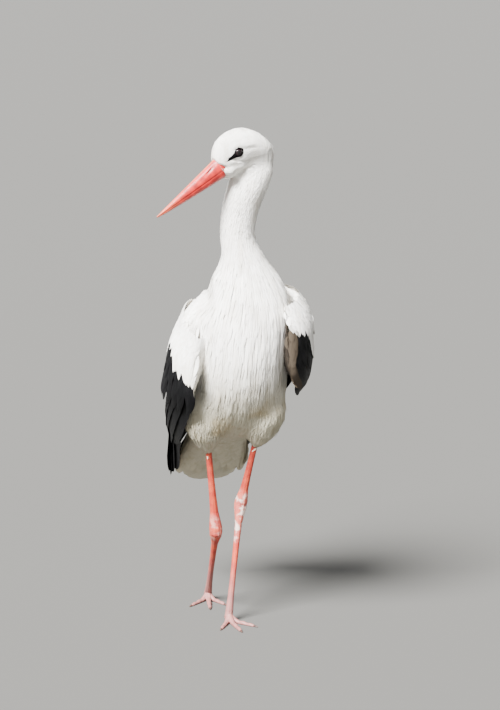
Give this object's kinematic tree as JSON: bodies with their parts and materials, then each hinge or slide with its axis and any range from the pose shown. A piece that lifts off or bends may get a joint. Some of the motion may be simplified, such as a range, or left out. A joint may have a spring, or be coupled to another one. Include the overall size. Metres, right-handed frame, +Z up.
{
  "type": "white stork",
  "caption": "Life-size white stork walking with its neck raised and its head turned to its right, white with black flight feathers, red bill and long red legs.",
  "frame": {"origin": "on the floor, under the centre of the bird's bounding box", "axes": "+Z up, -Y the way the body faces and walks, +X the bird's left"},
  "size_m": [0.3394, 0.4826, 1.0459],
  "materials": {
    "white_plumage": "soft matt contour feathers, warm white with faint ochre soiling",
    "black_flight_feathers": "smooth black vanes with a low silky sheen",
    "red_bill": "satin keratin, red with a paler ridge",
    "red_leg_skin": "dry scaled skin, orange-red with chalky patches",
    "dark_eye": "wet gloss",
    "claw_horn": "satin horn"
  },
  "bodies": {
    "root": {"head": "white_plumage", "neck_upper": "white_plumage", "neck_lower": "white_plumage", "trunk": "white_plumage", "tail": "white_plumage", "thigh_left": "white_plumage", "thigh_right": "white_plumage", "wing_left_coverts": "white_plumage", "wing_right_coverts": "white_plumage", "wing_left_secondaries": "black_flight_feathers", "wing_right_secondaries": "black_flight_feathers", "wing_left_primaries": "black_flight_feathers", "wing_right_primaries": "black_flight_feathers", "bill_upper": "red_bill", "bill_lower": "red_bill", "eye_left": "dark_eye", "eye_right": "dark_eye", "shank_left": "red_leg_skin", "shank_right": "red_leg_skin", "tarsus_left": "red_leg_skin", "tarsus_right": "red_leg_skin", "foot_left": "red_leg_skin", "foot_right": "red_leg_skin", "claw_left_inner": "claw_horn", "claw_left_middle": "claw_horn", "claw_left_outer": "claw_horn", "claw_left_hind": "claw_horn", "claw_right_inner": "claw_horn", "claw_right_middle": "claw_horn", "claw_right_outer": "claw_horn", "claw_right_hind": "claw_horn"}
  },
  "joints": []
}
